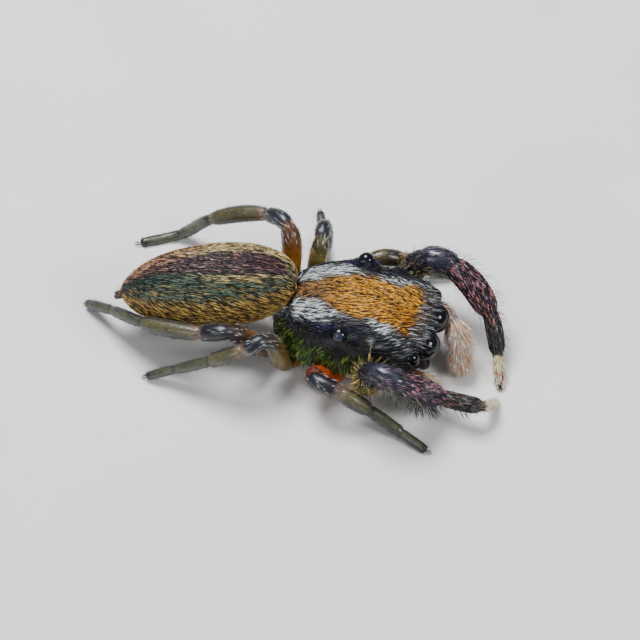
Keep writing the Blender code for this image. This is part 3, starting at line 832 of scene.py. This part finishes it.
for side in ("left", "right"):
    joints = np.array(PALP_JOINTS[side])
    ways = joint_ways(joints)
    shares = np.linspace(0, 0.92, 12)
    run = np.concatenate([
        curved_run(joints[k], joints[k + 1], ways[k], ways[k + 1], shares) for k in range(4)
    ])
    part_of = np.concatenate([k + shares for k in range(4)])
    narrowing = 0.12 * np.exp(-((part_of - np.round(part_of)) / 0.12) ** 2)
    radii = np.interp(part_of, range(5), PALP_RADII) * (1 - narrowing)
    palp_surface = tube_surface(run, radii)[0]
    palp = skin_over(
        f"palp_{side}_skin", palp_surface, 20, 72,
        lambda points, normals: palp_colour(part_of[nearest(points, run)]), horn,
    )
    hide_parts(f"palp_{side}_arm", f"palp_{side}_brush")
    share, angle = roots(palp_surface, 14000, 0.022, lambda points, normals: 0.6)
    arm = share < ARM_END
    arm_coat = free_hair(
        f"palp_{side}_arm_hair", palp_surface, (share[arm], angle[arm]), 0.12, 0.010,
        lambda here, normal, along: along + 0.3 * normal,
        lambda points, normals: arm_hair_colour(points, part_of[nearest(points, run)]), (0, 0, -0.1),
    )
    share, angle = roots(palp_surface, 60000, 0.011, lambda points, normals: 1.0)
    end = share > BRUSH_START
    brush = free_hair(
        f"palp_{side}_brush_hair", palp_surface, (share[end], angle[end]), BRUSH_LENGTH[side], 0.013,
        lambda here, normal, along: along + BRUSH_FLARE[side] * normal, brush_colour, (0, 0, -0.06),
    )

# Long soft hair stands at both ends of the shield: grey hair combed forwards over the front eyes, bluish
# hair over the waist, and a few long dark bristles near the eyes.


def on_brow(points, normals):
    x, y, z = points.T
    return band(x, 0.96, 1.06) * band(z, 1.10, 1.20) * band(np.abs(y), 0.66, 0.50)


INK_BROWN = paint(30, 24, 26)


def brow_colour(points, normals):
    grey = layer(ASH * 2.0, FROST * 0.55, band(speckle(points), 0.50, 0.80))
    return layer(grey, INK_BROWN, band(speckle(points, 8.0), 0.60, 0.65))


def at_waist(points, normals):
    x, y, z = points.T
    return band(x, -0.98, -1.10) * band(z, 0.84, 0.94) * band(np.abs(y), 0.50, 0.36)


def near_eyes(points, normals):
    x, y, z = points.T
    a = np.abs(y)
    return 0.55 * band(x, 0.0, 0.2) * band(a, 0.45, 0.6) * band(z, 1.15, 1.25)


def on_mounds(points, normals):
    x, y, z = points.T
    gap = np.hypot(np.hypot(x, np.abs(y) - 0.805), z - 1.35)
    return band(gap, 0.30, 0.22) * band(gap, 0.11, 0.14) * band(z, 1.30, 1.38)


def mound_colour(points, normals):
    return layer(SOOT * 1.6, VIOLET * 0.5, band(speckle(points), 0.60, 0.70))


# Where each run of hair grows, its spacing, length, width, aim, droop and colour.
HAIR_RUNS = {
    "brow_hair": (on_brow, 0.028, 0.26, 0.010, (1.0, 0.0, 0.0), -0.20, brow_colour),
    "mound_hair": (on_mounds, 0.018, 0.12, 0.010, (0.45, 0.0, 0.20), 0.0, mound_colour),
    "waist_hair": (
        at_waist, 0.045, 0.26, 0.009, (-1.0, 0.0, 0.45), -0.15,
        lambda points, normals: SLATE * 0.6 + FROST * 0.25,
    ),
    "bristles": (near_eyes, 0.12, 0.30, 0.009, (0.55, 0.0, 0.9), 0.0, lambda points, normals: INK_BROWN),
}
for name, (keep, spacing, long, wide, aim, droop, colour_of) in HAIR_RUNS.items():
    hair = free_hair(
        name, shield_surface, roots(shield_surface, 60000, spacing, keep), long, wide,
        lambda here, normal, along: np.array(aim) + 0.35 * normal, colour_of, (0, 0, droop),
    )

# Each leg is one run of five stiff tubes with soft joints. The front pair is thick and nearly black, with
# coppery scales and a long dark fringe. The others are amber at the root, dark at the knee and olive beyond.
SEGMENTS = ("femur", "patella", "tibia", "metatarsus", "tarsus")
LEG_LENGTHS = {
    1: (0.97, 0.46, 0.95, 0.67, 0.60),
    2: (0.70, 0.50, 0.58, 0.64, 0.54),
    3: (0.99, 0.34, 0.68, 0.70, 0.60),
    4: (1.17, 0.50, 1.09, 0.83, 0.70),
}
LEG_RADII = {
    1: (0.225, 0.215, 0.225, 0.140, 0.085),
    2: (0.175, 0.155, 0.135, 0.100, 0.078),
    3: (0.165, 0.145, 0.125, 0.088, 0.074),
    4: (0.180, 0.150, 0.135, 0.095, 0.082),
}
SEGMENT_ENDS = ((0.66, 0.84), (0.86, 0.82), (0.80, 0.72), (0.92, 0.82), (0.98, 0.66))
COXA_RADII = {1: 0.170, 2: 0.150, 3: 0.145, 4: 0.155}
# Heading and pitch of a leg's first four segments, and the heading of its foot, in degrees.
LEG_POSES = {
    (1, "left"): ((50, 52), (-2, -4), (-31, -26), (-60, -33), -70),
    (1, "right"): ((-60, 59), (-6, -6), (38, -45), (2, -2), 70),
    (2, "left"): ((90, 55), (28, -8), (62, -58), (20, -20), -10),
    (2, "right"): ((-120, 32), (-17, -5), (0, -30), (-12, -22), -21),
    (3, "left"): ((89, 75), (98, -16), (103, -82), (108, -37), 112),
    (3, "right"): ((-135, 62), (-147, -18), (-170, -33), (-177, -33), -174),
    (4, "left"): ((115, 59), (148, -18), (178, -27), (-180, -47), -152),
    (4, "right"): ((-137, 47), (-178, -19), (170, -16), (150, -26), 153),
}
HIPS = {1: (0.50, 0.84, 0.34), 2: (0.00, 0.76, 0.32), 3: (-0.85, 0.84, 0.34), 4: (-1.20, 0.60, 0.35)}
COXA_ROOTS = {1: (0.50, 0.24, 0.33), 2: (0.00, 0.24, 0.31), 3: (-0.42, 0.24, 0.33), 4: (-0.86, 0.22, 0.33)}
FOOT_HEIGHT = 0.040
LEG_DEPTH = 0.94


def way_of(heading, pitch):
    heading, pitch = math.radians(heading), math.radians(pitch)
    level = math.cos(pitch)
    return np.array((level * math.cos(heading), level * math.sin(heading), math.sin(pitch)))


def leg_run(pair, side):
    """Middle line of a leg, its radius, and which segment each point is in, from the body to the foot."""
    mirror = 1 if side == "left" else -1
    joints = [np.array(HIPS[pair]) * (1, mirror, 1)]
    *aims, last_heading = LEG_POSES[pair, side]
    for length, (heading, pitch) in zip(LEG_LENGTHS[pair], aims):
        joints.append(joints[-1] + way_of(heading, pitch) * length)
    length = LEG_LENGTHS[pair][-1]
    drop = math.degrees(math.asin(max(-1.0, (FOOT_HEIGHT - joints[-1][2]) / length)))
    joints.append(joints[-1] + way_of(last_heading, drop) * length)
    ways = joint_ways(np.array(joints))
    root = np.array(COXA_ROOTS[pair]) * (1, mirror, 1)
    outward = unit(joints[0] - root)
    ways[0] = unit(outward + ways[0])
    shares = np.linspace(0, 0.9, 6)
    centres = [curved_run(root, joints[0], outward, unit(outward * 2 + ways[0]), shares)]
    narrow = LEG_RADII[pair][0] * SEGMENT_ENDS[0][0]
    radii = [COXA_RADII[pair] * (1 - shares) + narrow * shares]
    part = [-1 + shares]
    shares = np.linspace(0, 0.955, 16)
    for index, (first, last) in enumerate(SEGMENT_ENDS):
        centres.append(curved_run(joints[index], joints[index + 1], ways[index], ways[index + 1], shares))
        ends = first + (last - first) * shares
        swell = np.sin(math.pi * shares) ** 0.6
        near_joint = np.exp(-((np.minimum(shares + 0.03, 0.985 - shares) / 0.05) ** 2))
        radii.append(LEG_RADII[pair][index] * (ends + (1 - ends) * swell) * (1 - 0.13 * near_joint))
        part.append(index + shares)
    part = np.concatenate(part)
    depth = LEG_DEPTH if pair == 1 else LEG_DEPTH + 0.12 * band(part, 1.9, 2.3)
    return np.concatenate(centres), np.concatenate(radii) * depth, part


INK = paint(22, 16, 28)
ROSE = paint(216, 150, 174)
# A dark purple for the front shins, partly their own colour and partly a painted sheen.
ORCHID_SHEEN = paint(58, 40, 64)
COPPER = paint(196, 128, 104)
PEWTER = paint(126, 138, 128)
STEEL = paint(64, 68, 88)
OLIVE = paint(114, 108, 72)
SAGE = paint(100, 104, 80)
RUST = paint(120, 52, 26)
IVORY = paint(232, 220, 190)
FOOT_SKIN = paint(196, 170, 112)
KNEE_PINK = paint(132, 104, 88)
COXA_AMBER = paint(140, 104, 34)
THIGHS = {
    (2, "left"): paint(104, 88, 46),
    (2, "right"): paint(206, 84, 24),
    (3, "left"): paint(160, 140, 76),
    (3, "right"): paint(96, 80, 30),
    (4, "left"): paint(184, 112, 26),
    (4, "right"): paint(104, 70, 38),
}
DARK_SHARE = {"left": 0.78, "right": 0.66}
UPPER_SCALES = {"left": 0.95, "right": 0.5}


def by_segment(colours, part):
    """Colours of the coxa and the five segments, with a short change at each joint."""
    table = np.array(colours)
    places = np.array([-1, -0.1, 0.1, 0.95, 1.05, 1.95, 2.05, 2.95, 3.05, 3.95, 4.05, 5.0])
    rows = table[[0, 0, 1, 1, 2, 2, 3, 3, 4, 4, 5, 5]]
    return np.stack([np.interp(part, places, rows[:, k]) for k in range(3)], axis=1)


class LegPlace:
    """Places on a leg: which segment each is on, and how near the top of the leg its normal points."""

    def __init__(self, points, normals, run, part_of, ups, leg):
        at = nearest(points, run)
        self.points = points
        self.normals = normals
        self.part = part_of[at]
        self.height = (normals * ups[at]).sum(axis=1)
        self.leg = leg


def front_skin_colour(at):
    # The knee's slate blue and the shin's purple are partly the shell's own dark colour and partly painted
    # sheen: a bluish reflection of the sky on the knee, a purple-pink one on the shin.
    colour = by_segment((UMBER * 0.6, INK, STEEL * 0.5 + INK * 0.5, ORCHID_SHEEN, INK * 0.9, FOOT_SKIN), at.part)
    colour = layer(colour, RUST, band(at.part, 4.50, 4.70))
    return layer(colour, INK, band(at.part, 4.84, 4.93))


def front_hair_colour(at):
    pick = speckle(at.points)
    knee = STEEL * 0.6 + ROSE * 0.30
    ankle = PEWTER * 0.45 + COPPER * 0.10
    colour = by_segment((MOSS, SLATE * 0.5, knee, ROSE * 0.9, ankle, IVORY), at.part)
    colour = layer(colour, CREAM * 0.7 + MOSS * 0.3, band(at.part, 0.80, 0.55))
    colour = layer(colour, COPPER, band(pick, 0.88, 0.92) * band(at.part, 1.6, 2.0) * band(at.part, 3.5, 3.1))
    share = DARK_SHARE[at.leg[1]]
    dark = band(pick, share + 0.03, share) * band(at.part, 0.3, 0.6) * band(at.part, 4.02, 3.96)
    return layer(colour, INK * 1.2, dark)


def back_skin_colour(at):
    """Amber thigh, dark knee, and olive beyond, with a dark line on the far side and dark joints."""
    part, across = at.part, at.normals[:, 1]
    thigh = THIGHS[at.leg]
    knee = thigh * 0.5 if at.leg == (2, "left") else STEEL * 0.22
    root = thigh if at.leg[0] == 2 else COXA_AMBER
    # The right second leg is painted half as light again beyond its knee: painted light on a side that the
    # lamps leave in shade.
    shade = 1.5 if at.leg == (2, "right") else 1.0
    beyond = (OLIVE * 0.43 * shade, SAGE * 0.43 * shade, SAGE * 0.52 * shade)
    colour = by_segment((root * 0.7, thigh, knee, *beyond), part)
    start = 0.30 if at.leg == (4, "left") else 0.66
    colour = layer(colour, NIGHT * 3 + thigh * 0.15, band(part, start, 0.90) * band(part, 1.1, 0.98))
    edge = band(across, 0.02, 0.20) * band(across, 0.66, 0.46)
    line = np.maximum(band(at.height, 0.06, -0.16), edge) * band(part, 1.9, 2.1)
    colour = layer(colour, INK * 0.8 + STEEL * 0.15, 0.85 * line)
    colour = layer(colour, INK * 0.7, 0.8 * band(part, 1.35, 1.55) * band(part, 1.90, 1.72))
    colour = layer(colour, KNEE_PINK, 0.6 * band(part, 1.76, 1.92) * band(part, 2.24, 2.05))
    joint = np.exp(-(((part + 0.02) - np.round(part + 0.02)) / 0.030) ** 2) * band(part, 2.5, 2.7)
    colour = layer(colour, INK * 1.2, 0.75 * joint)
    return layer(colour, INK, band(part, 4.72, 4.88))


def back_hair_colour(at):
    colour = by_segment((CREAM * 0.4, CREAM * 0.5, FROST * 0.6, SAGE, SAGE, SAGE), at.part)
    colour = layer(colour, FROST * 0.85, band(at.part, 0.66, 0.78) * band(at.part, 1.25, 1.10))
    return layer(colour, INK * 1.5, band(speckle(at.points), 0.72, 0.62))


def front_scales(at):
    """Thick on the thigh and the shin's end, thin over the glossy knee."""
    thick = UPPER_SCALES[at.leg[1]]
    places = (-0.1, 0.05, 0.7, 0.9, 1.6, 2.1, 2.8, 3.0, 3.9, 4.1)
    return np.interp(at.part, places, (0, 1, 0.9, 0.2, 0.25, thick, thick, 1, 1, 0.3))


def back_scales(at):
    return 0.5 * band(at.part, -0.2, 0.05) + 0.4 * band(at.part, 0.60, 0.70) * band(at.part, 1.20, 1.05)


def fringed(at):
    return 0.13 * band(at.height, -0.15, -0.55) * band(at.part, 0.9, 1.3) * band(at.part, 3.97, 3.9)


def fringe_length(at):
    return np.interp(at.part, (0.9, 1.5, 2.3, 2.9, 3.2, 4.0), (0.14, 0.24, 0.34, 0.30, 0.24, 0.16))


def fringe_colour(at):
    return layer(INK * 1.1, SAGE * 0.9, band(speckle(at.points, 2.0), 0.60, 0.66))


def fuzzy(at):
    return band(at.part, 0.05, 0.15) * band(at.part, 3.98, 3.9) * (0.08 + 0.34 * band(at.part, 0.95, 0.80))


def fuzz_length(at):
    return np.interp(at.part, (0.2, 0.85, 1.1), (0.22, 0.27, 0.10)) * (0.50 + 0.6 * speckle(at.points, 12.0))


def fuzz_colour(at):
    thigh = layer(CREAM * 0.8, STRAW * 0.8, band(speckle(at.points), 0.5, 0.6))
    return layer(fringe_colour(at), thigh, band(at.part, 0.98, 0.88))


def on_foot(at):
    return band(at.part, 4.0, 4.1) * (1 - 0.75 * band(at.part, 4.45, 4.6)) * 0.5


leg_shell = cuticle("leg_shell", 26000.0, 0.28, 0.003, Coat_Weight=0.3, Coat_Roughness=0.18)
for pair, side in LEG_POSES:
    run, radii, part_of = leg_run(pair, side)
    leg_surface, ups = tube_surface(run, radii, tip=0.006)

    def on_leg(rule):
        """A rule for places on this leg, in the form that skin and hair ask for."""
        return lambda points, normals: rule(LegPlace(points, normals, run, part_of, ups, (pair, side)))

    front = pair == 1
    leg = skin_over(
        f"leg_{pair}_{side}", leg_surface, 24, 130, on_leg(front_skin_colour if front else back_skin_colour),
        leg_shell if front else horn,
    )
    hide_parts(*(f"leg_{pair}_{side}_{segment}" for segment in SEGMENTS))
    if front:
        places = roots(leg_surface, 60000, 0.027, on_leg(front_scales))
        size, rise, hair_colour = (0.15, 0.012), 0.010, front_hair_colour
    else:
        places = roots(leg_surface, 12000, 0.062, on_leg(back_scales))
        size, rise, hair_colour = (0.09, 0.008), 0.022, back_hair_colour
    leg_coat = flat_coat(
        f"leg_{pair}_{side}_coat", leg_surface, places, *size, lambda points, normals, along: unit(along),
        on_leg(hair_colour), rise, variation=0.35, stray=0.13,
    )
    onward = unit(run[-1] - run[-3])
    across = unit(np.cross(onward, (0, 0, 1.0)))
    for number, beside in enumerate((-1, 1)):
        start = run[-1] + across * beside * 0.022
        bend, end = start + onward * 0.075 + (0, 0, 0.030), start + onward * 0.095 + (0, 0, -0.012)
        hook = tube_surface(hooked_run(start, bend, end, 8), np.linspace(0.013, 0.003, 8), (0, 0, 1), 0.05)[0]
        claw = skin_over(
            f"leg_{pair}_{side}_claw_{number + 1}", hook, 8, 10, plain_colour(INK, INK_BROWN), horn,
        )
    if not front:
        continue
    fringe = free_hair(
        f"leg_{pair}_{side}_fringe", leg_surface, roots(leg_surface, 40000, 0.022, on_leg(fringed)),
        on_leg(fringe_length), 0.011, lambda here, normal, along: normal + 0.75 * along,
        on_leg(fringe_colour), (0, 0, -0.1),
    )
    fuzz = free_hair(
        f"leg_{pair}_{side}_fuzz", leg_surface, roots(leg_surface, 20000, 0.045, on_leg(fuzzy)),
        on_leg(fuzz_length), 0.007,
        lambda here, normal, along: normal + (1.1 + 0.8 * ripple(here, 23))[:, None] * along,
        on_leg(fuzz_colour),
    )
    foot_hair = free_hair(
        f"leg_{pair}_{side}_foot_hair", leg_surface, roots(leg_surface, 30000, 0.020, on_leg(on_foot)),
        0.13, 0.010, lambda here, normal, along: 0.45 * normal + along, lambda points, normals: IVORY,
    )

# The model stands on a plain pale table, as in a studio: a large lamp high behind it, one ahead, a weak one
# on the camera's side that leaves no gleam, and an even cool light from all round.
floor_finish, floor_surface, floor_start = new_finish("floor", Roughness=0.6)
floor_place = floor_start.node("TexCoord", out="Object")
speck = floor_start.node("TexNoise", Vector=floor_place, Scale=400.0, Detail=4.0)
floor_stops = ((0.3, (0.74, 0.74, 0.73, 1)), (0.7, (0.78, 0.78, 0.77, 1)))
floor_start.node("ValToRGB", {"stops": floor_stops}, Fac=speck).feed(floor_surface, "Base Color")
bm = bmesh.new()
bmesh.ops.create_grid(bm, x_segments=1, y_segments=1, size=0.5)
floor_mesh = bpy.data.meshes.new("floor")
bm.to_mesh(floor_mesh)
bm.free()
floor = bpy.data.objects.new("floor", floor_mesh)
floor.data.materials.append(floor_finish)
bpy.context.scene.collection.objects.link(floor)

# Each lamp's direction, distance, width, power and share of gleam.
LAMPS = {
    "key": ((-0.30, 0.30, 0.90), 42.0, 24.0, 0.0290, 1.0),
    "front": ((0.85, -0.20, 0.75), 45.0, 16.0, 0.0110, 1.0),
    "fill": ((-0.5, -0.9, 0.6), 50.0, 26.0, 0.0060, 0.10),
}
for name, (direction, distance, size, power, gloss) in LAMPS.items():
    light = bpy.data.lights.new(name, "AREA")
    light.shape = "DISK"
    light.size = size * MM
    light.energy = power
    light.specular_factor = gloss
    lamp = bpy.data.objects.new(name, light)
    toward = Vector(direction).normalized()
    lamp.rotation_mode = "QUATERNION"
    lamp.rotation_quaternion = toward.to_track_quat("Z", "Y")
    lamp.location = Vector(in_metres((0, 0, 0.6))) + toward * distance * MM
    bpy.context.scene.collection.objects.link(lamp)
world = bpy.data.worlds.new("studio")
world.use_nodes = True
even_light = world.node_tree.nodes["Background"]
even_light.inputs["Color"].default_value = (0.86, 0.92, 1.0, 1)
even_light.inputs["Strength"].default_value = 0.26
bpy.context.scene.world = world
